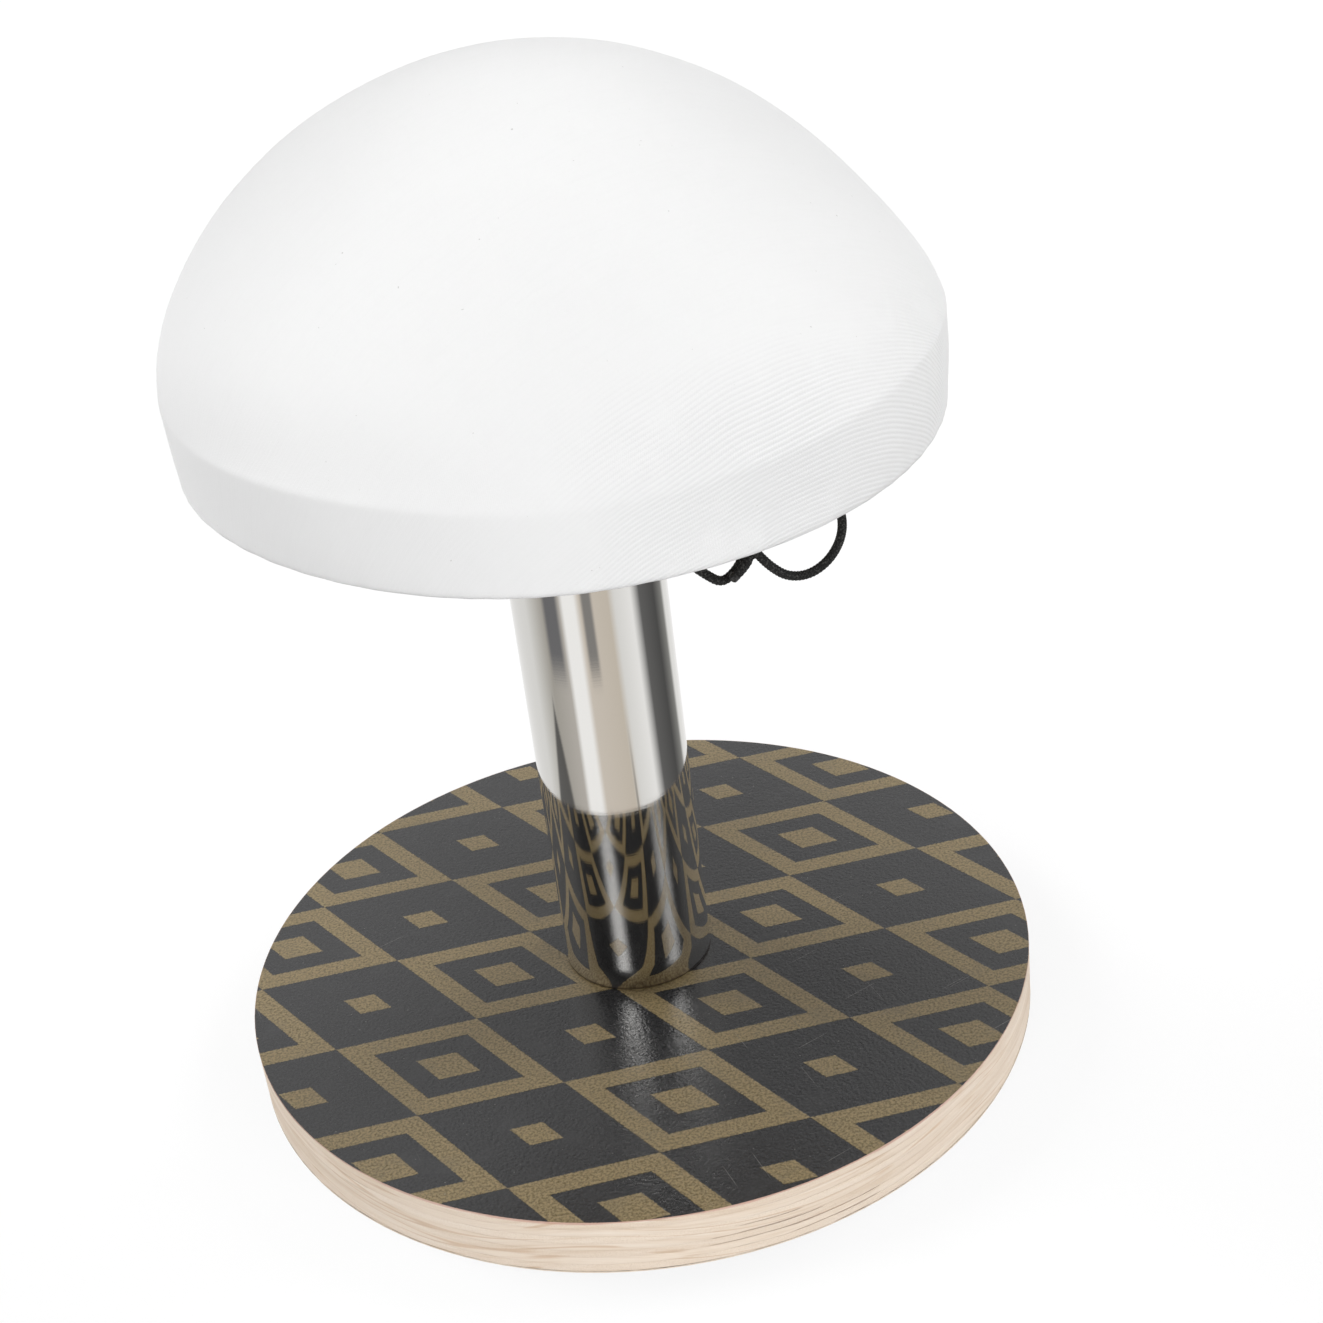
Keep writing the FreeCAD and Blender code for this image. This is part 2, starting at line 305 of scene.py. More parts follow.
def cotton_material():
    """Bowed ribs, deepest where the cloth is slack at the right or drawn together at the front;
    their valleys get painted shade.
    """
    s = Shader("cotton")
    u, v = s.cloth_place()
    sway = s.noise(s.vector(u, v, 0.0), 0.03, 1.0) * 3.0
    across = u * math.sin(RIB_DIRECTION) - v * math.cos(RIB_DIRECTION)
    across = across + u * u * (RIB_BEND / 2) + sway
    along = u * math.cos(RIB_DIRECTION) + v * math.sin(RIB_DIRECTION)
    ribs = (across * (TURN / RIB_PITCH)).sin()
    twill = ((along + across * 0.5) * (TURN / YARN_PITCH)).sin()
    fuzz = s.noise(s.vector(u, v, 0.0), 2.6, 3.0, 0.7)
    slub = s.noise(s.vector(across * 2.0, along * 0.16, 0.0), 0.5, 2.0)
    radius = from_axis(u, v)
    slack = ((u * math.sin(SLACK_SIDE) - v * math.cos(SLACK_SIDE)) / radius).rise(0.6, 0.98)
    slack = slack * radius.rise(90.0, 114.0)
    drawn = ((u * math.sin(DRAWN_SIDE) - v * math.cos(DRAWN_SIDE)) / radius).rise(0.9, 1.0)
    drawn = drawn * radius.rise(92.0, 108.0)
    patchy = s.noise(s.vector(u, v, 2.0), 0.06, 2.0).rise(0.2, 0.5)
    ribbed = ribs * ((slack * 0.42 + drawn * 0.15) * patchy + 0.06)
    height = ribbed + twill * 0.05 + fuzz * 0.7 + slub * 0.3
    lint = s.noise(s.vector(u, v, 7.0), 1.1, 0.0).rise(0.885, 0.9)
    # Painted shade: the rib valleys are darkened, most where the cloth is drawn together at the
    # front.
    valley_shade = ribs.rise(0.2, -0.9)
    shade_depth = (slack * 0.1 + drawn * 0.33) * patchy + 0.02
    tone = s.mix(valley_shade * shade_depth, COTTON_WHITE, PAINTED_RIB_SHADE)
    tone = s.mix(slub.rise(0.45, 0.75) * 0.1, tone, COTTON_SLUB)
    tone = s.mix(lint * 0.5, tone, LINT)
    return s.finish(
        base_color=tone,
        roughness=fuzz * 0.1 + 0.86,
        specular_ior_level=0.2,
        normal=s.bump(height, 0.00016, 0.5),
    )


def thread_material():
    s = Shader("thread")
    x, y, z = s.place()
    twist = ((x + y + z * 1.6) * (TURN / 0.5)).sin()
    tone = s.mix(twist.rise(-1.0, 1.0), colour(0.72, 0.72, 0.71), colour(0.86, 0.86, 0.85))
    return s.finish(base_color=tone, roughness=0.6, normal=s.bump(twist, 0.00005))


# Mirror-polished steel tube
def polished_steel_material():
    s = Shader("polished_steel")
    x, y, z = s.place()
    rings = s.noise(s.vector(x * 0.02, y * 0.02, z * 2.2), 1.4, 3.0, 0.65)
    smears = s.noise(s.vector(x, y, z * 0.4), 0.06, 2.0)
    foot = z.rise(BASE_TOP / MM + 1.1, BASE_TOP / MM + 0.1)
    tone = s.mix(foot * 0.75, colour(0.67, 0.66, 0.64), colour(0.16, 0.09, 0.055))
    haze = rings * 0.035 + smears.rise(0.5, 0.8) * 0.05 + foot * 0.3 + 0.02
    return s.finish(
        base_color=tone,
        metallic=1.0,
        roughness=haze,
        normal=s.bump(rings, 0.000004, 0.6),
    )


def zinc_material():
    s = Shader("zinc_plate")
    place = s.whole_place()
    spot = s.noise(place, 1.1, 3.0)
    fine = s.noise(place, 9.0, 2.0)
    tone = s.mix(spot.rise(0.35, 0.7), colour(0.5, 0.52, 0.55), colour(0.66, 0.66, 0.63))
    rough = fine * 0.15 + 0.26
    return s.finish(base_color=tone, metallic=1.0, roughness=rough, normal=s.bump(fine, 0.00002))


# Dark resin film, printed with a lattice of gold lozenges
PRINT_TURN = math.radians(-24)
LOZENGE_LONG = 62.0
LOZENGE_WIDE = 37.0
RING_OUTER = 0.5
RING_INNER = 0.33
HEART_SIZE = 0.14
CORNER_START = 0.89
PRINT_EDGE = 0.005
GOLD_SHADES = colour(0.14, 0.104, 0.0485), colour(0.29, 0.224, 0.118)
WORN_GOLD = colour(0.158, 0.131, 0.084)
DARK_SHADES = colour(0.022, 0.022, 0.023), colour(0.0345, 0.0345, 0.0355)
WORN_DARK = colour(0.045, 0.045, 0.046)
SCRATCH_SHADE = colour(0.3, 0.29, 0.28)


def film_material(name, edge):
    """Satin film; its cut rim has the edge's colour."""
    s = Shader(name)
    x, y, _ = s.place()
    flat = s.vector(x, y, 0.0)
    ragged = (s.noise(flat, 1.6, 2.0) - 0.5) * 0.02
    along = (x * math.cos(PRINT_TURN) + y * math.sin(PRINT_TURN)) / LOZENGE_LONG
    over = (y * math.cos(PRINT_TURN) - x * math.sin(PRINT_TURN)) / LOZENGE_WIDE
    lozenge = (along.fract() - 0.5).abs() + (over.fract() - 0.5).abs() + ragged
    ring = lozenge.rise(RING_OUTER + PRINT_EDGE, RING_OUTER - PRINT_EDGE)
    ring = ring * lozenge.rise(RING_INNER - PRINT_EDGE, RING_INNER + PRINT_EDGE)
    heart = lozenge.rise(HEART_SIZE + PRINT_EDGE, HEART_SIZE - PRINT_EDGE)
    corner = lozenge.rise(CORNER_START - PRINT_EDGE, CORNER_START + PRINT_EDGE)
    printed = ring.largest(heart).largest(corner)
    grain = s.cells(flat, 1.15)
    grit = s.noise(flat, 1.5, 3.0, 0.6)
    worn = s.noise(flat, 0.09, 3.0).rise(0.52, 0.75)
    gold = s.mix(grit.rise(0.38, 0.62), *GOLD_SHADES)
    gold = s.mix(worn * 0.35, gold, WORN_GOLD)
    dark = s.mix(grit.rise(0.4, 0.65), *DARK_SHADES)
    dark = s.mix(worn * 0.4, dark, WORN_DARK)
    scratch = scratches(s, x, y)
    dust = s.noise(s.vector(x, y, 3.0), 1.3, 0.0).rise(0.83, 0.86)
    tone = s.mix(printed, dark, gold)
    tone = s.mix(scratch.largest(dust) * 0.3, tone, SCRATCH_SHADE)
    radius = from_axis(x, y)
    tone = s.mix(radius.rise(BASE_RADIUS / MM - 0.12, BASE_RADIUS / MM - 0.04), tone, edge)
    height = grain * -0.5 + grit * 0.8 + printed * 0.25
    return s.finish(
        base_color=tone,
        roughness=grit * 0.1 + printed * 0.12 + scratch * 0.1 + 0.12,
        specular_ior_level=0.6,
        normal=s.bump(height, 0.00012, 0.6),
    )


def scratches(s, x, y):
    """Fine straight marks in two directions, each only in a few places."""
    marks = None
    for angle, seed in ((0.5, 11.0), (1.9, 23.0)):
        run = x * math.cos(angle) + y * math.sin(angle)
        side = y * math.cos(angle) - x * math.sin(angle)
        line = s.noise(s.vector(run * 0.05, side * 2.6, seed), 1.0, 0.0).rise(0.81, 0.86)
        where = s.noise(s.vector(x, y, seed), 0.03, 1.0).rise(0.5, 0.6)
        mark = line * where
        marks = mark if marks is None else marks.largest(mark)
    return marks


# Plywood: crossed plies of pale wood, with the film's resin line under the top face
PLY_COUNT = 7
PLY_SHADES = colour(0.865, 0.743, 0.62), colour(0.815, 0.688, 0.565)
PLY_LIGHT = colour(0.9, 0.805, 0.705)
PLY_STREAK = colour(0.68, 0.53, 0.4)
PLY_DEEP = colour(0.7, 0.55, 0.41)
PLY_PORES = colour(0.58, 0.44, 0.32)
PLY_VEIN = colour(0.55, 0.34, 0.18)
PLY_GLUE = colour(0.45, 0.29, 0.18)
PLY_GAP = colour(0.3, 0.17, 0.1)
RESIN_LINE = colour(0.55, 0.27, 0.21)


def plywood_material():
    s = Shader("plywood_edge")
    x, y, z = s.place()
    drift = (s.noise(s.vector(x, y, z * 0.3), 0.025, 2.0) - 0.5) * 1.5
    slant = z + (s.noise(s.vector(x, y, 0.0), 0.012, 1.0) - 0.5) * 16.0
    thickness = (BOARD_HIGH - BOARD_LOW) / MM / PLY_COUNT
    level = (z + drift - BOARD_LOW / MM) / thickness
    ply = level.maths("FLOOR")
    crossed = (ply * 0.5).fract() * 2.0
    facing = (x * x) / (x * x + y * y)
    end_grain = facing * crossed + (1 - facing) * (1 - crossed)
    streak = s.noise(s.vector(x * 0.1, y * 0.1, slant * 2.4), 1.0, 3.0, 0.6)
    broad = s.noise(s.vector(x * 0.04, y * 0.04, slant * 0.7), 1.0, 2.0)
    figure = s.noise(s.vector(x * 0.014, y * 0.014, slant * 0.3), 1.0, 1.0)
    vein = (figure - 0.5).abs().rise(0.034, 0.006) * broad.rise(0.4, 0.6)
    pores = s.noise(s.vector(x, y, z), 3.6, 3.0, 0.7)
    shade = s.node("TexWhiteNoise", {"W": ply}, noise_dimensions="1D")
    pale = s.mix(shade, *PLY_SHADES)
    pale = s.mix(streak.rise(0.42, 0.75) * 0.3, pale, PLY_STREAK)
    pale = s.mix(broad.rise(0.5, 0.72) * 0.45, pale, PLY_LIGHT)
    pale = s.mix(broad.rise(0.45, 0.3) * 0.5, pale, PLY_DEEP)
    tone = s.mix(end_grain * pores.rise(0.42, 0.72) * 0.4, pale, PLY_PORES)
    tone = s.mix(vein * 0.5, tone, PLY_VEIN)
    glue = (level.fract() - 0.5).abs().rise(0.45, 0.5)
    broken = s.noise(s.vector(x, y, ply * 9.0), 0.05, 2.0).rise(0.42, 0.62)
    tone = s.mix(glue * broken * 0.4, tone, PLY_GLUE)
    gap = s.noise(s.vector(x * 0.4, y * 0.4, ply * 5.0), 0.07, 1.0).rise(0.66, 0.7)
    gap = gap * (level.fract() - 0.5).abs().rise(0.36, 0.48)
    tone = s.mix(gap * 0.6, tone, PLY_GAP)
    under_film = z.rise(BOARD_HIGH / MM - 0.5, BOARD_HIGH / MM - 0.15)
    tone = s.mix(under_film * broken * 0.65, tone, RESIN_LINE)
    height = streak * 0.7 + pores * 0.4 - glue * 0.6 - gap * 2.0
    rough = streak * 0.15 + 0.66
    return s.finish(base_color=tone, roughness=rough, normal=s.bump(height, 0.00018, 0.6))


def veneer_material():
    """The face of a rotary-cut sheet: long wavy figure and short pores along X."""
    s = Shader("veneer_face")
    x, y, z = s.place()
    wave = s.noise(s.vector(x * 0.25, y, z), 0.05, 2.0) * 16.0
    figure = ((y * 0.5 + wave) * (TURN / 4.2)).sin()
    fleck = s.noise(s.vector(x * 0.1, y * 2.2, z), 1.2, 3.0, 0.6)
    tone = s.mix(figure.rise(-0.6, 1.0) * 0.45, colour(0.76, 0.58, 0.41), colour(0.6, 0.42, 0.27))
    tone = s.mix(fleck.rise(0.5, 0.75) * 0.5, tone, colour(0.46, 0.31, 0.2))
    rough = fleck * 0.2 + 0.6
    return s.finish(base_color=tone, roughness=rough, normal=s.bump(fleck, 0.00012, 0.6))


def turned_wood_material():
    s = Shader("turned_wood")
    x, y, z = s.place()
    streak = s.noise(s.vector(x, y, z * 0.08), 1.6, 3.0)
    tone = s.mix(streak.rise(0.35, 0.7), colour(0.66, 0.47, 0.3), colour(0.52, 0.34, 0.2))
    return s.finish(base_color=tone, roughness=streak * 0.2 + 0.55, normal=s.bump(streak, 0.0001))


def padding_material(name, light, dark, scale):
    """Matted fibres, coarse in the wadding and fine in the felt."""
    s = Shader(name)
    fibre = s.noise(s.whole_place(), scale, 4.0, 0.7)
    tone = s.mix(fibre.rise(0.3, 0.7), dark, light)
    return s.finish(base_color=tone, roughness=0.95, normal=s.bump(fibre, 0.0004))


def cord_material():
    s = Shader("black_cord")
    place = s.whole_place()
    fibre = s.noise(place, 7.0, 2.0)
    yarn = s.noise(place, 2.4, 2.0)
    tone = s.mix(fibre.rise(0.35, 0.7), grey(0.006), grey(0.02))
    tone = s.mix(yarn.rise(0.52, 0.66), tone, colour(0.06, 0.059, 0.056))
    return s.finish(
        base_color=tone,
        roughness=fibre * 0.2 + 0.6,
        specular_ior_level=0.3,
        normal=s.bump(fibre, 0.00005),
    )


def sealed_tip_material():
    s = Shader("sealed_tip")
    lump = s.noise(s.whole_place(), 1.5, 2.0)
    tone = s.mix(lump, grey(0.008), colour(0.022, 0.021, 0.02))
    return s.finish(base_color=tone, roughness=lump * 0.2 + 0.22, normal=s.bump(lump, 0.0002))


# Mesh helpers
SHARP_ANGLE = math.radians(60)


def mesh_object(name, points, faces, material):
    mesh = bpy.data.meshes.new(name)
    mesh.from_pydata(np.asarray(points).tolist(), [], [list(map(int, face)) for face in faces])
    mesh.materials.append(material)
    return added(name, mesh)


def piece(name, points, faces, material):
    made = mesh_object(name, points, faces, material)
    turn_outwards(made.data)
    made.data.shade_smooth()
    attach(made, BODY)
    return made


def turn_outwards(mesh):
    work = bmesh.new()
    work.from_mesh(mesh)
    bmesh.ops.recalc_face_normals(work, faces=work.faces)
    work.to_mesh(mesh)
    work.free()


def grid_faces(rows, columns, first=0, close_rows=False):
    """Quads between closed rows of points that are numbered row by row from first."""
    row = np.arange(rows if close_rows else rows - 1)
    row, column = np.meshgrid(row, np.arange(columns), indexing="ij")
    below = (row + 1) % rows
    beside = (column + 1) % columns
    here, under = row * columns, below * columns
    corners = [here + column, here + beside, under + beside, under + column]
    return np.stack([c.ravel() for c in corners], axis=1) + first


def tube_faces(rows, sides):
    """The quads of a tube and a face at each of its ends."""
    last = (rows - 1) * sides
    ends = [list(range(sides)), list(range(last, last + sides))[::-1]]
    return grid_faces(rows, sides).tolist() + ends


def full_turn(count):
    return np.linspace(0, TURN, count, endpoint=False)


def around(radius, height, azimuth):
    """Points at an azimuth that is counted from -Y towards +X."""
    x, y = radius * np.sin(azimuth), -radius * np.cos(azimuth)
    return np.stack(np.broadcast_arrays(x, y, height), axis=-1)


def distances(points):
    """How far each point lies from the first along their line."""
    return np.concatenate([[0], np.cumsum(np.linalg.norm(np.diff(points, axis=0), axis=1))])


def spaced(points, count):
    """That many points at equal steps along a line."""
    points = np.asarray(points, float)
    along = distances(points)
    wanted = np.linspace(0, along[-1], count)
    return np.stack([np.interp(wanted, along, part) for part in points.T], axis=1)


def curve_along(name, kind, points):
    """A new curve with one spline of that kind, and the spline."""
    curve = bpy.data.curves.new(name, "CURVE")
    curve.dimensions = "3D"
    spline = curve.splines.new(kind)
    spline.points.add(len(points) - 1)
    spline.points.foreach_set("co", np.insert(points, 3, 1, axis=1).ravel())
    return curve, spline


def length_of(points):
    return float(np.linalg.norm(np.diff(points, axis=0), axis=1).sum())


# Base: the board with its relief of plies
EDGE_ROWS_PER_PLY = 6
BOARD_SEGMENTS = 640
GROOVE_DEPTH = 0.1 * MM
PLY_OFFSET = 0.08 * MM
EDGE_EASE = 0.15 * MM
BOARD_SHARP_ANGLE = math.radians(40)


def base_board(material):
    rng = np.random.default_rng(5)
    rows = PLY_COUNT * EDGE_ROWS_PER_PLY + 1
    heights = np.linspace(BOARD_LOW, BOARD_HIGH, rows)
    ply = np.minimum(np.arange(rows) // EDGE_ROWS_PER_PLY, PLY_COUNT - 1)
    set_back = rng.uniform(0, PLY_OFFSET, PLY_COUNT)[ply]
    at_joint = np.arange(rows) % EDGE_ROWS_PER_PLY == 0
    set_back = np.where(at_joint, set_back + GROOVE_DEPTH, set_back)
    set_back[[0, -1]] = EDGE_EASE
    azimuth = full_turn(BOARD_SEGMENTS)
    waver = sum(
        np.cos(count * azimuth[None] + rng.uniform(0, TURN, (rows, 1))) / (3 + k)
        for k, count in enumerate((9, 23, 57, 121))
    )
    radius = BASE_RADIUS - set_back[:, None] * (1 + 0.5 * waver)
    edge = around(radius, heights[:, None], azimuth[None])
    inner_profile = [
        (ROD_HOLE_RADIUS, BOARD_HIGH),
        (ROD_HOLE_RADIUS, RECESS_SEAT),
        (RECESS_RADIUS, RECESS_SEAT),
        (RECESS_RADIUS, BOARD_LOW),
    ]
    inner = np.array([around(r, h, azimuth) for r, h in inner_profile])
    points = np.concatenate([edge, inner]).reshape(-1, 3)
    faces = grid_faces(rows + len(inner_profile), BOARD_SEGMENTS, close_rows=True)
    board = piece("base_board_edge", points, faces, material)
    board.data.set_sharp_from_angle(angle=BOARD_SHARP_ANGLE)
    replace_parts(board, "base_board")


# Post
TUBE_EASE = 0.25 * MM
TUBE_SEGMENTS = 256
TUBE_ROWS = 24


def post_tube(material):
    outer = POST_RADIUS
    inner = POST_RADIUS - POST_WALL
    heights = np.linspace(BASE_TOP + TUBE_EASE, HEAD_LOW - TUBE_EASE, TUBE_ROWS)
    profile = [(inner + TUBE_EASE, BASE_TOP), (outer - TUBE_EASE, BASE_TOP)]
    profile += [(outer, h) for h in heights]
    profile += [(outer - TUBE_EASE, HEAD_LOW), (inner + TUBE_EASE, HEAD_LOW)]
    profile += [(inner, h) for h in heights[::-1]]
    radius, height = np.array(profile).T[..., None]
    points = around(radius, height, full_turn(TUBE_SEGMENTS)[None]).reshape(-1, 3)
    faces = grid_faces(len(profile), TUBE_SEGMENTS, close_rows=True)
    post = piece("polished_post", points, faces, material)
    post.data.set_sharp_from_angle(angle=SHARP_ANGLE)
    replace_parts(post, "post_tube")


# Head: padding, felt and cover share one soft, slightly leaning form
LEAN = (-3.7 * MM, 0, 0)
LEAN_HEIGHT = 12 * MM
LEAN_SLOWNESS = 1.5
LEAN_EASE = 0.3
RIGHT_CREASE = 0.45
SOFTNESS = 0.55 * MM
# By the share of the way from the apex to the crease: how far a ball is flattened, in millimetres
FLATTENING = (
    (0, 0.45), (0.35, 0.9), (0.55, 0.7), (0.71, 0.0),
    (0.82, -0.35), (0.9, -0.2), (0.95, 0.07), (1, 0),
)
LOWER_ROUND = 2 * MM
PROFILE_STEP = 0.25 * MM
HEAD_SEGMENTS = 480
DOME_ROWS = 38
SIDE_ROWS = 48
UNEVENNESS = 0.35 * MM
GATHER_COUNT = 62
GATHER_HEIGHT = 1.3 * MM
PUCKER = 0.08 * MM
RIM_DROP = 1.7 * MM
CREASE_DIP = 1.5 * MM
CREASE_RISE = 2.5 * MM
PULL_HEIGHT = 12 * MM
CREASE_TUCK = 0.65 * MM
TUCK_HEIGHT = 5 * MM
CREASE_HEIGHT = HEAD_HIGH + CREASE_ABOVE_BOARD
DOME_RISE = APEX - CREASE_HEIGHT
DOME_RADIUS = (CREASE_RADIUS ** 2 + DOME_RISE ** 2) / (2 * DOME_RISE)
FELT_INSET = COVER_THICKNESS + LAYER_GAP
WADDING_INSET = FELT_INSET + FELT_THICKNESS + 2 * LAYER_GAP
WADDING_MOUTH = 0.5 * MM


def gathers(azimuth):
    """Uneven folds round the drawn hem, from -1 to 1."""
    uneven = 1.5 * np.sin(5 * azimuth + 0.7) + 0.9 * np.sin(11 * azimuth + 2.1)
    uneven = uneven + 0.6 * np.sin(17 * azimuth + 4.0)
    depth = 0.78 + 0.22 * np.sin(7 * azimuth + 1.3)
    return depth * np.cos(GATHER_COUNT * azimuth + uneven)


def smooth_step(value, low, high):
    share = np.clip((value - low) / (high - low), 0, 1)
    return share * share * (3 - 2 * share)


def rim_pull(azimuth):
    """How far the band's lower edge is raised: most at the left, and least at the bow."""
    degrees = (np.degrees(azimuth) + 65) % 360 - 65
    front = 1 - 2 * smooth_step(degrees, -62, 3)
    back = -np.cos(np.radians(np.clip((degrees - 75) / 220, 0, 1) * 180))
    return RIM_DROP * np.where(degrees < 75, front, back)


def crease_pull(azimuth):
    """How far the crease is raised: it dips at the front and rises at both sides."""
    degrees = np.abs((np.degrees(azimuth) + 170) % 360 - 180)
    wave = -CREASE_DIP + (CREASE_DIP + CREASE_RISE) * smooth_step(degrees, 5, 65)
    return wave * (1 - smooth_step(degrees, 90, 150))


def crease_tuck(azimuth, height):
    """How far the cloth is drawn in round the crease at the right."""
    degrees = np.abs((np.degrees(azimuth) + 95) % 360 - 180)
    near = np.exp(-((height - CREASE_HEIGHT) / TUCK_HEIGHT) ** 2)
    return CREASE_TUCK * smooth_step(degrees, 75, 15) * near


def head_profile(inset, bottom, mouth_radius):
    """Radius and height from the apex down the dome and the band, and in to the mouth below."""
    centre = APEX - DOME_RADIUS
    angle = math.asin(CREASE_RADIUS / DOME_RADIUS)
    turn = np.linspace(0, angle, 400)
    shares, amounts = zip(*FLATTENING)
    radius = DOME_RADIUS - inset - np.interp(turn / angle, shares, amounts) * MM
    dome = np.stack([radius * np.sin(turn), centre + radius * np.cos(turn)], axis=1)
    bend = np.linspace(0, math.pi / 2, 9)
    side = CREASE_RADIUS - inset - BAND_DRAW_IN
    inwards, upwards = LOWER_ROUND * (1 - np.cos(bend)), LOWER_ROUND * (1 - np.sin(bend))
    lower = np.stack([side - inwards, bottom + upwards], axis=1)
    outline = np.concatenate([dome, lower, [[mouth_radius, bottom]]])
    mirrored = np.concatenate([outline[:0:-1] * [-1, 1], outline])
    fine = spaced(mirrored, int(length_of(mirrored) / PROFILE_STEP))
    reach = int(3 * SOFTNESS / PROFILE_STEP)
    weights = np.exp(-0.5 * (np.arange(-reach, reach + 1) * PROFILE_STEP / SOFTNESS) ** 2)
    weights /= weights.sum()
    padded = np.concatenate([np.repeat(fine[:1], reach, 0), fine, np.repeat(fine[-1:], reach, 0)])
    soft = np.stack([np.convolve(padded[:, k], weights, "valid") for k in range(2)], axis=1)
    half = soft[len(soft) // 2:]
    half[0, 0] = 0
    split = np.argmax(half[:, 1] < CREASE_HEIGHT + 3 * SOFTNESS)
    return np.concatenate([spaced(half[:split], DOME_ROWS), spaced(half[split:], SIDE_ROWS)])


def swells(azimuth, along):
    """Shallow swells of the padding, from about -2 to 2."""
    shape = np.sin(3 * azimuth + 0.6) * np.sin(along * 40)
    shape = shape + 0.7 * np.sin(5 * azimuth + along * 55 + 2.0)
    return shape + 0.5 * np.sin(8 * azimuth - along * 70 + 4.0)


def lean_share(azimuth, height):
    """How much of the lean a point takes: soonest above the crease at the left."""
    above = np.clip(height - CREASE_HEIGHT, 0, None) / LEAN_HEIGHT
    left = smooth_step(-np.sin(azimuth), 0.75, 0.97)
    right = smooth_step(np.sin(azimuth), 0.4, 0.75) * smooth_step(np.cos(azimuth), 0.08, 0.3)
    at_once = left + RIGHT_CREASE * right
    lean = 1 - at_once * np.exp(-above) - (1 - at_once) * np.exp(-(above / LEAN_SLOWNESS) ** 2)
    return lean * (1 - LEAN_EASE * smooth_step(height, CREASE_HEIGHT + DOME_RISE / 2, APEX))


def head_points(profile, folds):
    """The leaning form's points by rows, and each row's distance from the apex along the cloth."""
    azimuth = full_turn(HEAD_SEGMENTS)[None]
    radius, height = profile[:, :1], profile[:, 1:]
    along = distances(profile)[:, None]
    uneven = UNEVENNESS * swells(azimuth, along) * smooth_step(radius, 0.01, 0.05)
    fold = gathers(azimuth)
    below = smooth_step(height, COVER_LOW + 9 * MM, COVER_LOW)
    inwards = smooth_step(radius, CREASE_RADIUS - 2 * MM, HEM_OUTER) * below
    wide = radius + uneven * (1 - below) + folds * PUCKER * fold * below * (1 - inwards)
    wide = wide - crease_tuck(azimuth, height)
    down = height - folds * GATHER_HEIGHT * (0.5 + 0.5 * fold) * inwards
    share = np.clip((height - COVER_LOW) / (CREASE_HEIGHT - COVER_LOW), 0, 1)
    pull = rim_pull(azimuth) * (1 - share) * (1 - inwards) + crease_pull(azimuth) * share
    down = down + pull * np.exp(-np.clip(height - CREASE_HEIGHT, 0, None) / PULL_HEIGHT)
    lean = lean_share(azimuth, height)[..., None] * np.array(LEAN)
    return around(wide, down, azimuth) + lean, along


def crown_faces(rows):
    """Quads between rows of points numbered from 1, and triangles up to point 0, the apex."""
    ring = 1 + np.arange(HEAD_SEGMENTS)
    crown = [(0, b, a) for a, b in zip(ring, np.roll(ring, -1))]
    return list(grid_faces(rows, HEAD_SEGMENTS, first=1)) + crown


def soft_shell(name, profile, material, folds, thickness):
    """A layer of that thickness under the profile, open below."""
    points, along = head_points(profile, folds)
    points = np.concatenate([points[0, :1], points[1:].reshape(-1, 3)])
    shell = piece(name, points, crown_faces(len(profile) - 1), material)
    flat_places(shell.data, np.concatenate([[0], np.repeat(along[1:, 0], HEAD_SEGMENTS)]))
    face = shell.data.polygons[0]
    if face.normal.dot(face.center - Vector((0, 0, HEAD_HIGH))) < 0:
        shell.data.flip_normals()
    wall = shell.modifiers.new("wall", "SOLIDIFY")
    wall.thickness = thickness
    wall.offset = -1
    return shell


def flat_places(mesh, along):
    """Lays the cloth out flat in the map cloth, each point at its distance from the apex."""
    places = np.empty(len(mesh.vertices) * 3)
    mesh.vertices.foreach_get("co", places)
    places = places.reshape(-1, 3)
    direction = places[:, :2] / np.maximum(np.linalg.norm(places[:, :2], axis=1), 1e-9)[:, None]
    flat = direction * along[:, None]
    corners = np.empty(len(mesh.loops), int)
    mesh.loops.foreach_get("vertex_index", corners)
    mesh.uv_layers.new(name="cloth").data.foreach_set("uv", flat[corners].ravel())


def cover(cotton):
    profile = head_profile(0, COVER_LOW, HEM_OUTER + LAYER_GAP)
    shell = soft_shell("cotton_cover", profile, cotton, 1, COVER_THICKNESS)
    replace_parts(shell, "cover")


def felt_layer(felt):
    mouth = CREASE_RADIUS - FELT_INSET - BAND_DRAW_IN - LOWER_ROUND - SOFTNESS
    profile = head_profile(FELT_INSET, HEAD_LOW + FELT_LIFT, mouth)
    shell = soft_shell("felt_layer", profile, felt, 0, FELT_THICKNESS - LAYER_GAP)
    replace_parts(shell, "felt_pad")


def wadding_dome(wadding):
    profile = head_profile(WADDING_INSET, HEAD_HIGH + LAYER_GAP, WADDING_MOUTH)
    points, _ = head_points(profile, 0)
    rows = len(profile) - 2
    ring = 1 + (rows - 1) * HEAD_SEGMENTS + np.arange(HEAD_SEGMENTS)
    faces = crown_faces(rows)
    faces += [(ring[-1] + 1, a, b) for a, b in zip(ring, np.roll(ring, -1))]
    ends = [points[0, :1], points[1:-1].reshape(-1, 3), points[-1:, 0] * [0, 0, 1]]
    core = piece("wadding_dome", np.concatenate(ends), faces, wadding)
    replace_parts(core, "dome_core")


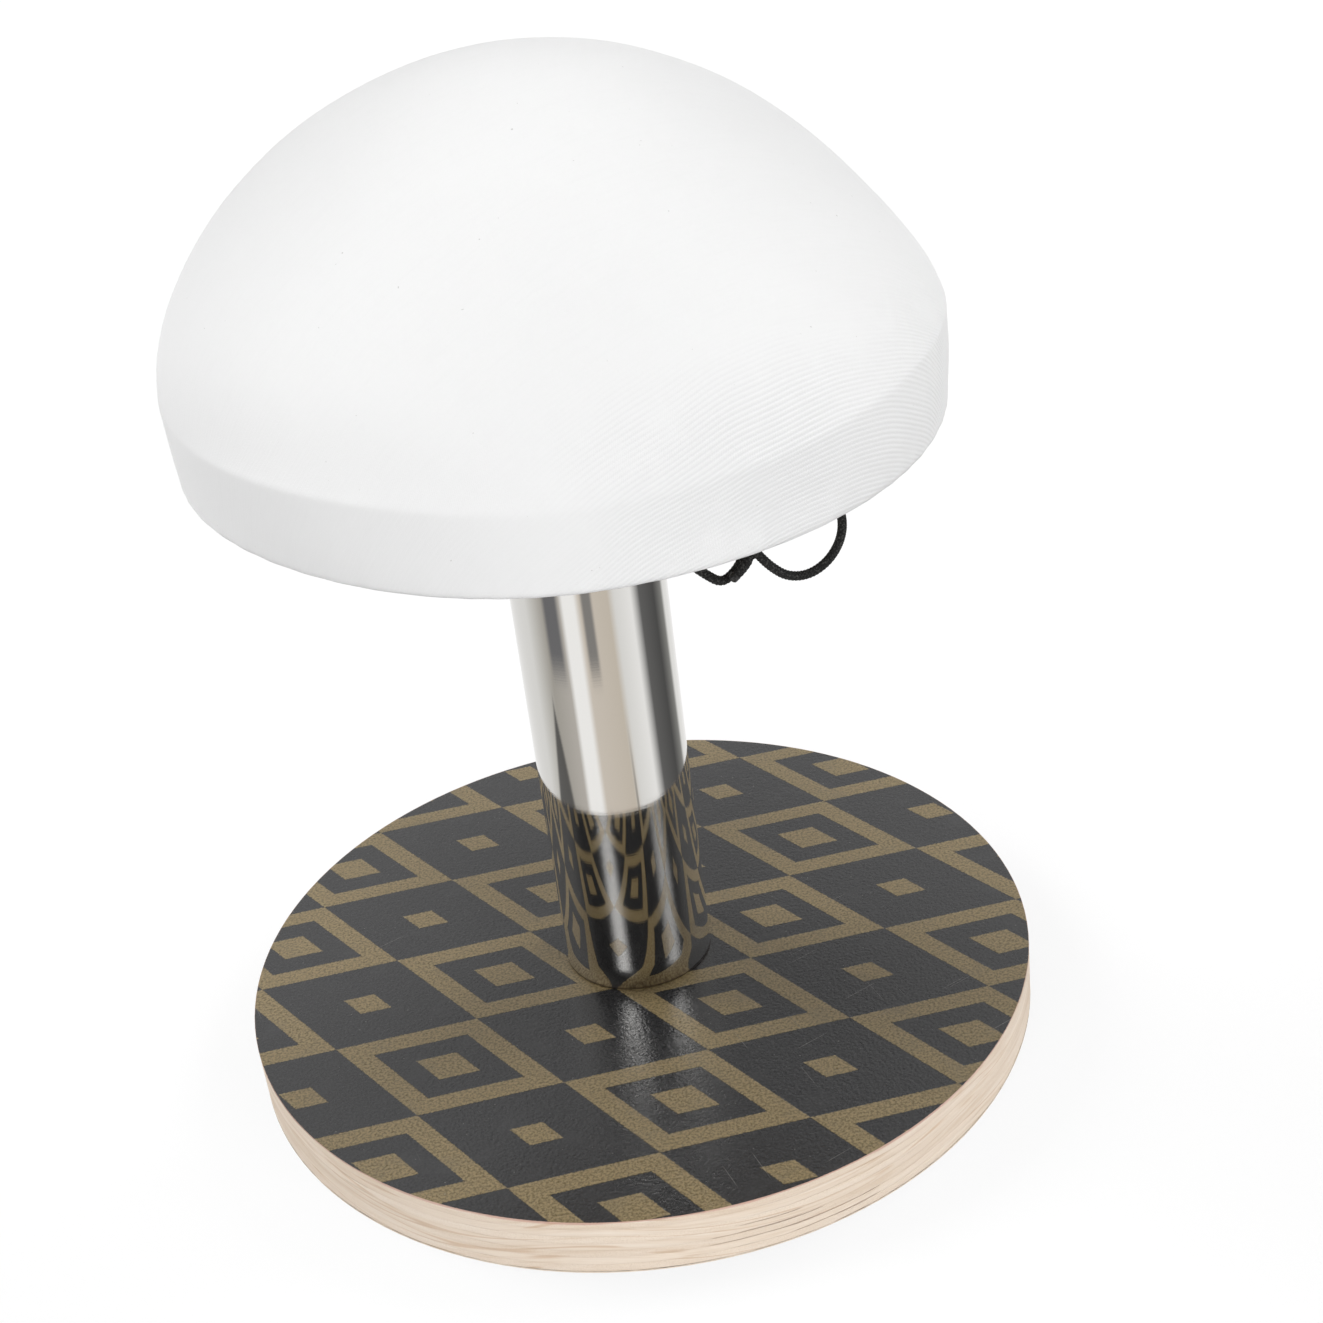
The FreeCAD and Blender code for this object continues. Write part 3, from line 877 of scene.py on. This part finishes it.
# Hem: the gathered tunnel with its row of stitches
HEM_SEGMENTS = 720
HEM_SIDES = 28
HEM_RUFFLE = 0.55 * MM
HEM_FLAT_START = 0.05
BORE_FIT = 1.25
MOUTH_DEPTH = 7 * MM
STITCH_SPACING = 3.1 * MM
STITCH_LENGTH = 2.2 * MM
STITCH_MARGIN = math.radians(2)
STITCH_TURN = -0.32 * math.pi
STITCH_LINE_POINTS = 1400
THREAD_RADIUS = 0.16 * MM
HEM_START = BOW_AZIMUTH + MOUTH_HALF_ANGLE
HEM_END = BOW_AZIMUTH - MOUTH_HALF_ANGLE + TURN
HEM_MIDDLE_RADIUS = HEM_OUTER - HEM_WIDTH / 2
HEM_MIDDLE_HEIGHT = (HEM_LOW + HEM_HIGH) / 2


def hem_surface(azimuth, turn, share=1.0):
    """A point on the tunnel's cloth; turn runs round its section, from outside over the top."""
    fold = gathers(azimuth)
    half_width = HEM_WIDTH / 2 * share
    half_height = (HEM_HIGH - HEM_LOW) / 2 * share
    side = np.sign(np.cos(turn)) * np.abs(np.cos(turn)) ** 0.6 * half_width
    lift = np.sign(np.sin(turn)) * np.abs(np.sin(turn)) ** 0.8 * half_height
    under = np.clip(-np.sin(turn), 0, 1)
    inner = np.clip(-np.cos(turn), 0, 1)
    ruffle = HEM_RUFFLE * share
    radius = HEM_MIDDLE_RADIUS + side - inner * ruffle * (0.6 + fold)
    height = HEM_MIDDLE_HEIGHT + lift - under * ruffle * (0.5 + 0.5 * fold)
    return around(radius, height, azimuth)


def hem_casing(material):
    turn = full_turn(HEM_SIDES)[None]
    inside = MOUTH_DEPTH / HEM_MIDDLE_RADIUS
    bore = BORE_FIT * CORD_RADIUS

    def bore_ring(azimuth):
        return around(
            HEM_MIDDLE_RADIUS + bore * np.cos(turn),
            HEM_MIDDLE_HEIGHT + bore * np.sin(turn),
            np.array([[azimuth]]),
        )

    tunnel = hem_surface(np.linspace(HEM_START, HEM_END, HEM_SEGMENTS)[:, None], turn)
    first_mouth = [bore_ring(HEM_START + inside), bore_ring(HEM_START)]
    last_mouth = [bore_ring(HEM_END), bore_ring(HEM_END - inside)]
    rows = np.concatenate([*first_mouth, tunnel, *last_mouth])
    places = rows.reshape(-1, 3)
    hem = piece("hem_tunnel", places, tube_faces(len(rows), HEM_SIDES), material)
    hem.data.set_sharp_from_angle(angle=SHARP_ANGLE)
    flat_places(hem.data, np.linalg.norm(places[:, :2], axis=1) + HEM_FLAT_START)
    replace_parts(hem, "hem_casing")


def stitch_group():
    """Instances of one stitch along a curve, as a plain mesh."""
    group = bpy.data.node_groups.new("stitch_row", "GeometryNodeTree")
    kinds = {
        "Geometry": "Geometry",
        "Spacing": "Float",
        "Stitch Length": "Float",
        "Thread Radius": "Float",
        "Thread": "Material",
    }
    for name, kind in kinds.items():
        group.interface.new_socket(name=name, in_out="INPUT", socket_type="NodeSocket" + kind)
    group.interface.new_socket(
        name="Geometry", in_out="OUTPUT", socket_type="NodeSocketGeometry",
    )

    def node(kind, inputs, **settings):
        return new_node(group, kind, inputs, settings)

    given = node("NodeGroupInput", {})
    steps = {"Curve": given["Geometry"], "Length": given["Spacing"]}
    points = node("GeometryNodeCurveToPoints", steps, mode="LENGTH")
    ball = node("GeometryNodeMeshUVSphere", {"Segments": 8, "Rings": 9, "Radius": 0.5})
    radius = given["Thread Radius"]
    width = node("ShaderNodeMath", {0: radius, 1: 2.0}, operation="MULTIPLY")[0]
    size = node("ShaderNodeCombineXYZ", {0: width, 1: width, 2: given["Stitch Length"]})
    stitches = node("GeometryNodeInstanceOnPoints", {
        "Points": points["Points"],
        "Instance": ball["Mesh"],
        "Rotation": points["Rotation"],
        "Scale": size[0],
    })
    real = node("GeometryNodeRealizeInstances", {"Geometry": stitches[0]})
    dressing = {"Geometry": real[0], "Material": given["Thread"]}
    dressed = node("GeometryNodeSetMaterial", dressing)
    node("NodeGroupOutput", {"Geometry": dressed[0]})
    return group


def hem_stitches(thread):
    azimuth = np.linspace(HEM_START + STITCH_MARGIN, HEM_END - STITCH_MARGIN, STITCH_LINE_POINTS)
    points = hem_surface(azimuth, np.array(STITCH_TURN))
    line = added("stitch_line", curve_along("stitch_line", "POLY", points)[0])
    row = line.modifiers.new("stitches", "NODES")
    row.node_group = stitch_group()
    values = {
        "Spacing": STITCH_SPACING,
        "Stitch Length": STITCH_LENGTH,
        "Thread Radius": THREAD_RADIUS,
        "Thread": thread,
    }
    for socket in row.node_group.interface.items_tree:
        if socket.name in values:
            row[socket.identifier] = values[socket.name]
    drawn = line.evaluated_get(bpy.context.evaluated_depsgraph_get())
    mesh = bpy.data.meshes.new_from_object(drawn)
    bpy.data.objects.remove(line)
    mesh.shade_smooth()
    made = added("hem_stitches", mesh)
    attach(made, BODY)


# Drawstring: a braid of crossing strands over a core
STRANDS_EACH_WAY = 6
BRAID_PITCH = 5.4 * MM
BRAID_STEP = 0.13 * MM
BRAID_RADIUS = 0.8 * MM
BRAID_WEAVE = 0.09 * MM
STRAND_WIDE = 0.3 * MM
STRAND_THICK = 0.16 * MM
STRAND_SIDES = 6
CORE_RADIUS = 0.76 * MM
CORE_SIDES = 12


def bow_frame(points):
    """Points that are given across, outwards and up from the knot, in the row frame."""
    out = np.array([math.sin(BOW_AZIMUTH), -math.cos(BOW_AZIMUTH), 0])
    across = np.array([math.cos(BOW_AZIMUTH), math.sin(BOW_AZIMUTH), 0])
    return np.array(KNOT) + np.asarray(points) @ np.array([across, out, [0, 0, 1]])


def smooth_route(points):
    """The spline of a route's control points, at equal steps."""
    curve, spline = curve_along("route", "NURBS", points)
    spline.order_u = 3
    spline.use_endpoint_u = True
    spline.resolution_u = 24
    route = bpy.data.objects.new("route", curve)
    mesh = bpy.data.meshes.new_from_object(route)
    line = np.array([corner.co for corner in mesh.vertices])
    bpy.data.objects.remove(route)
    bpy.data.curves.remove(curve)
    bpy.data.meshes.remove(mesh)
    return spaced(line, max(8, int(length_of(line) / BRAID_STEP)))


def steady_frames(line):
    """Two directions square to the line at each of its points, which don't twist about it."""
    ahead = np.gradient(line, axis=0)
    ahead /= np.linalg.norm(ahead, axis=1)[:, None]
    side = np.cross(ahead[0], [0.3, 0.2, 0.9])
    sides = []
    for direction in ahead:
        side = side - direction * side.dot(direction)
        side = side / np.linalg.norm(side)
        sides.append(side)
    sides = np.array(sides)
    return ahead, sides, np.cross(ahead, sides)


def tube(line, sides, wide, thick=None, flat_to=None):
    """Points and faces of a closed tube; an oval one has its wide side square to flat_to."""
    thick = wide if thick is None else thick
    ahead, first, second = steady_frames(line)
    if flat_to is not None:
        second = flat_to
        first = np.cross(second, ahead)
    turn = full_turn(sides)
    rings = (
        line[:, None]
        + first[:, None] * (wide * np.cos(turn))[None, :, None]
        + second[:, None] * (thick * np.sin(turn))[None, :, None]
    )
    return rings.reshape(-1, 3), tube_faces(len(line), sides)


def braid(line):
    """The strands that cross over and under each other round a line."""
    _, first, second = steady_frames(line)
    along = distances(line)
    weave = BRAID_WEAVE * np.cos(TURN * STRANDS_EACH_WAY * along / BRAID_PITCH)
    parts = []
    for way in (1, -1):
        for strand in range(STRANDS_EACH_WAY):
            turn = TURN * (strand / STRANDS_EACH_WAY + way * along / BRAID_PITCH)
            outwards = first * np.cos(turn)[:, None] + second * np.sin(turn)[:, None]
            path = line + outwards * (BRAID_RADIUS + way * weave)[:, None]
            parts.append(tube(path, STRAND_SIDES, STRAND_WIDE, STRAND_THICK, outwards))
    return parts


def joined(parts):
    points, faces, count = [], [], 0
    for part_points, part_faces in parts:
        points.append(part_points)
        faces += [[count + corner for corner in face] for face in part_faces]
        count += len(part_points)
    return np.concatenate(points), faces


def braided_cord(name, line, material):
    points, faces = joined([tube(line, CORE_SIDES, CORE_RADIUS)] + braid(line))
    return piece(name, points, faces, material)


# Bow: two loops and two ends out of a wrapped knot
KNOT_WRAPS = 1.7
KNOT_TURN = 0.6
KNOT_WRAP_RADIUS = 1.72 * MM
KNOT_DRIFT = 1.35 * MM
KNOT_INSIDE = 0.55
KNOT_POINTS = 150
TIP_LENGTH = 1.6 * MM
TIP_WIDENING = 1.03
TIP_STRAIGHT = 0.45
TIP_INSIDE = 0.6
TIP_ROWS = 10
TIP_SIDES = 16
DRAWSTRING_SHOWN = 14 * MM
DRAWSTRING_START = 0.2
HEM_CORD_POINTS = 180
HEM_CORE_POINTS = 400


def into_knot(route, both_ends):
    """A route that starts, and for a loop ends, inside the knot."""
    end = [KNOT_INSIDE * route[-1]] if both_ends else []
    return bow_frame([KNOT_INSIDE * route[0], *route, *end])


def sealed_tip(name, line, material):
    """The melted end of a cord: a short cap, a little wider than the cord and rounded off."""
    shares = np.linspace(0, 1, TIP_ROWS)
    rounding = np.clip((shares - TIP_STRAIGHT) / (1 - TIP_STRAIGHT), 0, 1) ** 2.2
    widths = CORD_RADIUS * TIP_WIDENING * np.sqrt(np.clip(1 - rounding, 0.02, 1))
    ahead, first, second = steady_frames(line)
    centres = line[-1] + ahead[-1] * ((shares - TIP_INSIDE) * TIP_LENGTH)[:, None]
    turn = full_turn(TIP_SIDES)
    ring = first[-1] * np.cos(turn)[:, None] + second[-1] * np.sin(turn)[:, None]
    points = (centres[:, None] + ring[None] * widths[:, None, None]).reshape(-1, 3)
    return piece(name, points, tube_faces(TIP_ROWS, TIP_SIDES), material)


def bow(cord, tip):
    turn = np.linspace(-KNOT_WRAPS / 2, KNOT_WRAPS / 2, KNOT_POINTS) * TURN
    wrap = bow_frame(np.stack([
        KNOT_DRIFT * turn / turn[-1] * 0.5,
        KNOT_WRAP_RADIUS * np.cos(turn + KNOT_TURN),
        KNOT_WRAP_RADIUS * np.sin(turn + KNOT_TURN),
    ], axis=1))
    knot = braided_cord("bow_wrap", spaced(wrap, int(length_of(wrap) / BRAID_STEP)), cord)
    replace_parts(knot, "bow_knot")
    sides = (("right", RIGHT_LOOP, RIGHT_TAIL), ("left", LEFT_LOOP, LEFT_TAIL))
    for side, loop_route, tail_route in sides:
        loop_line = smooth_route(into_knot(loop_route, True))
        tail_line = smooth_route(into_knot(tail_route, False))
        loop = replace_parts(braided_cord(f"bow_{side}_braid", loop_line, cord), f"bow_{side}_loop")
        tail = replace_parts(braided_cord(f"bow_{side}_end", tail_line, cord), f"bow_{side}_tail")
        end = sealed_tip(f"bow_{side}_tip", tail_line, tip)
        [tail, end] + ([knot] if side == "right" else [])


def drawstring(cord):
    """The cord in the hem, whole, with its braid where it shows at the mouth."""
    def ring_point(azimuth):
        return around(np.array(HEM_MIDDLE_RADIUS), np.array(HEM_MIDDLE_HEIGHT), np.array(azimuth))

    leads = []
    for way in (1, -1):
        azimuth = BOW_AZIMUTH + way * MOUTH_HALF_ANGLE
        towards_bow = np.array([math.cos(azimuth), math.sin(azimuth), 0]) * -way
        corner = ring_point(azimuth) + towards_bow * MOUTH_LEAD
        at_knot = np.array(KNOT) + (corner - np.array(KNOT)) * DRAWSTRING_START
        leads.append([at_knot, corner, ring_point(azimuth)])
    right = smooth_route(leads[0])
    left = smooth_route(leads[1])[::-1]
    in_hem = ring_point(np.linspace(HEM_START, HEM_END, HEM_CORD_POINTS))
    whole = np.concatenate([right[:-1], in_hem, left[1:]])
    shown = int(DRAWSTRING_SHOWN / BRAID_STEP)
    fine = spaced(whole, int(length_of(whole) / BRAID_STEP))
    core = tube(spaced(whole, HEM_CORE_POINTS), CORE_SIDES, CORE_RADIUS)
    points, faces = joined([core] + braid(fine[:shown]) + braid(fine[-shown:]))
    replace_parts(piece("hem_cord", points, faces, cord), "drawstring")


# Finishes of the solids that stay as they are
def dress_solids(finishes):
    for node, material in finishes.items():
        solid = frame["nodes"][node]
        solid.data.materials.clear()
        solid.data.materials.append(material)


# Stage: a pale floor, soft light, and what only polished faces mirror
FLOOR_SIZE = 8.0
BACKDROP_RADIUS = 3.9
BACKDROP_HEIGHT = 6.0
BACKDROP_SEGMENTS = 96
BOUNCED_LIGHT = 0.4
BOUNCE_HEIGHT = 0.0002
MIRRORED_INNER = 0.102
MIRRORED_HEIGHT = 0.0003
MIRRORED_OUTER = 0.42
MIRRORED_SEGMENTS = 256
# Each stripe's azimuth in degrees and its colour
MIRRORED_STRIPES = (
    (-180, 1.0, 1.0, 1.0),
    (-105, 0.93, 0.93, 0.92),
    (-88, 0.72, 0.71, 0.68),
    (-72, 0.5, 0.48, 0.44),
    (-45, 0.62, 0.59, 0.55),
    (-39, 1.2, 1.2, 1.2),
    (-23, 1.2, 1.2, 1.2),
    (-16, 0.82, 0.75, 0.67),
    (24, 0.75, 0.68, 0.59),
    (33, 0.96, 0.96, 0.95),
    (58, 1.12, 1.12, 1.12),
    (73, 0.16, 0.16, 0.16),
    (102, 0.1, 0.1, 0.1),
    (122, 0.3, 0.3, 0.29),
    (130, 0.98, 0.98, 0.97),
    (180, 1.0, 1.0, 1.0),
)
# Each panel's azimuth, elevation, width and height in degrees, and its strength
PANELS = {
    "panel_left": (-27, 36, 14, 12, 11),
    "panel_right": (55, 37, 16, 12, 7.5),
}
# Each sun's azimuth and elevation in degrees, and its strength
SUNS = {
    "overhead": (-100, 85, 0.86),
    "front_left": (-30, 10, 1.63),
    "front_right": (40, 15, 1.65),
    "back_left": (-120, 35, 1.57),
    "back_right": (120, 30, 1.36),
}
SUN_SPREAD = math.radians(30)


def emission_material(name, shade, strength):
    s = Shader(name)
    return s.shown(s.node("Emission", {"Color": shade, "Strength": strength}))


def stripes_material():
    """Stripes that run outwards over the table, by their azimuth from -Y towards +X."""
    s = Shader("mirrored_stripes")
    x, y, _ = s.place()
    degrees = x.maths("ARCTAN2", y * -1.0) * (360 / TURN)
    radius = from_axis(x, y)
    stops = [(azimuth / 360 + 0.5, colour(*shade)) for azimuth, *shade in MIRRORED_STRIPES]
    tone = s.node("ValToRGB", {0: degrees / 360 + 0.5}, stops=stops)
    wedge = (degrees + 77.0).abs() - (radius * -0.2045 + 38.9)
    tone = s.mix(wedge.rise(2.0, -3.0) * 0.9, tone, grey(0.1))
    far = radius.rise(196.0, 226.0)
    tone = s.mix(far * (degrees + 59.0).abs().rise(15.0, 7.0), tone, colour(0.2, 0.2, 0.21))
    tone = s.mix(far * (degrees + 6.0).abs().rise(10.0, 4.0), tone, colour(0.3, 0.29, 0.28))
    line = (degrees - 27.5).abs().rise(2.4, 0.6) * radius.rise(190.0, 120.0)
    tone = s.mix(line * 0.6, tone, colour(0.2, 0.19, 0.17))
    tone = s.mix(radius.rise(350.0, MIRRORED_OUTER / MM), tone, grey(0.98))
    return s.shown(s.node("Emission", {"Color": tone}))


def floor_material():
    """A pale floor that glows, so that it stays nearly white with a faint shadow."""
    s = Shader("pale_floor")
    x, y, _ = s.place()
    mottle = s.noise(s.vector(x, y, 0.0), 0.004, 2.0)
    tone = s.mix(mottle, grey(0.2), grey(0.21))
    return s.finish(
        base_color=tone,
        roughness=0.9,
        specular_ior_level=0.1,
        emission_color=grey(0.775),
        emission_strength=1.0,
    )


def stage_object(name, points, faces, material, seen_by):
    """A piece of the stage that only the named kinds of rays meet."""
    made = mesh_object(name, points, faces, material)
    for kind in ("camera", "diffuse", "glossy", "transmission", "shadow"):
        setattr(made, f"visible_{kind}", kind in seen_by)


def backdrop():
    """A pale wall round the floor, for the views from the sides."""
    azimuth = full_turn(BACKDROP_SEGMENTS)
    points = np.concatenate([around(BACKDROP_RADIUS, h, azimuth) for h in (0, BACKDROP_HEIGHT)])
    faces = grid_faces(2, BACKDROP_SEGMENTS)
    material = emission_material("pale_wall", grey(0.97), 1.0)
    stage_object("backdrop", points, faces, material, ["camera"])


def mirrored_table():
    """A striped ring round the base, which the post mirrors."""
    azimuth = full_turn(MIRRORED_SEGMENTS)
    radii = (MIRRORED_INNER, MIRRORED_OUTER)
    points = np.concatenate([around(r, MIRRORED_HEIGHT, azimuth) for r in radii])
    faces = grid_faces(2, MIRRORED_SEGMENTS)
    stage_object("mirrored_table", points, faces, stripes_material(), ["glossy"])


def mirrored_panel(name, azimuth, elevation, width, height, strength):
    """A light panel that faces the base from one metre away, by angles in degrees."""
    turn, lift = math.radians(azimuth), math.radians(elevation)
    out = Vector((
        math.sin(turn) * math.cos(lift), -math.cos(turn) * math.cos(lift), math.sin(lift),
    ))
    across = Vector((math.cos(turn), math.sin(turn), 0)) * math.radians(width) / 2
    upwards = out.cross(across).normalized() * math.radians(height) / 2
    low, high = out - upwards, out + upwards
    corners = [tuple(c) for c in (low - across, low + across, high + across, high - across)]
    material = emission_material(name, grey(1.0), strength)
    stage_object(name, corners, [(0, 1, 2, 3)], material, ["glossy"])


def sun(name, azimuth, elevation, strength):
    data = bpy.data.lights.new(name, "SUN")
    data.energy = strength
    data.angle = SUN_SPREAD
    light = added(name, data)
    light.rotation_euler = (math.radians(90 - elevation), 0, math.radians(azimuth))
    light.visible_glossy = False


def make_world():
    """A room for glossy faces: dark behind the camera, pale beyond, with a dark patch high up."""
    world = bpy.data.worlds.new("studio")
    s = Shader("studio", owner=world)
    towards = s.node("TexCoord", {}, output="Generated")
    side, back, height = [s.node("SeparateXYZ", {0: towards}, output=k) for k in range(3)]
    light = s.mix(back.rise(-0.4, 0.1), grey(0.03), grey(0.85))
    ceiling = (side - 0.03).abs().rise(0.11, 0.02) * height.rise(0.54, 0.64)
    light = s.mix(ceiling * 0.9, light, grey(0.05))
    s.shown(s.node("Background", {"Color": light}), "OutputWorld")
    bpy.context.scene.world = world
    world.cycles_visibility.diffuse = False


def make_stage():
    half = FLOOR_SIZE / 2
    corners = np.array([(-half, -half, 0), (half, -half, 0), (half, half, 0), (-half, half, 0)])
    quad = [(0, 1, 2, 3)]
    rays = ["camera", "glossy", "transmission", "shadow"]
    stage_object("floor", corners, quad, floor_material(), rays)
    bounce = emission_material("bounced_light", grey(1.0), BOUNCED_LIGHT)
    stage_object("bounce", corners + [0, 0, BOUNCE_HEIGHT], quad, bounce, ["diffuse"])
    backdrop()
    mirrored_table()
    for name, placed in PANELS.items():
        mirrored_panel(name, *placed)
    for name, placed in SUNS.items():
        sun(name, *placed)
    make_world()
    bpy.context.scene.view_settings.view_transform = "Standard"


make_camera()
cotton = cotton_material()
cord = cord_material()
zinc = zinc_material()
top_film = film_material("printed_film", edge=colour(0.62, 0.4, 0.32))
bottom_film = film_material("printed_film_below", edge=colour(0.8, 0.68, 0.56))
bow(cord, sealed_tip_material())
drawstring(cord)
base_board(plywood_material())
post_tube(polished_steel_material())
felt = padding_material(
    "felt_fibres", light=colour(0.72, 0.71, 0.68), dark=colour(0.58, 0.57, 0.54), scale=3.0,
)
wadding = padding_material(
    "wadding_fibres", light=colour(0.8, 0.78, 0.7), dark=colour(0.66, 0.63, 0.56), scale=0.9,
)
cover(cotton)
felt_layer(felt)
wadding_dome(wadding)
hem_casing(cotton)
hem_stitches(thread_material())
turned_wood = turned_wood_material()
finishes = {
    "base_top_film": top_film,
    "base_bottom_film": bottom_film,
    "head_board": veneer_material(),
    "tie_rod": zinc,
}
for end in ("lower", "upper"):
    finishes[f"{end}_spigot"] = turned_wood
    for fastener in ("nut", "washer", "spigot_screw_1", "spigot_screw_2"):
        finishes[f"{end}_{fastener}"] = zinc
dress_solids(finishes)
make_stage()
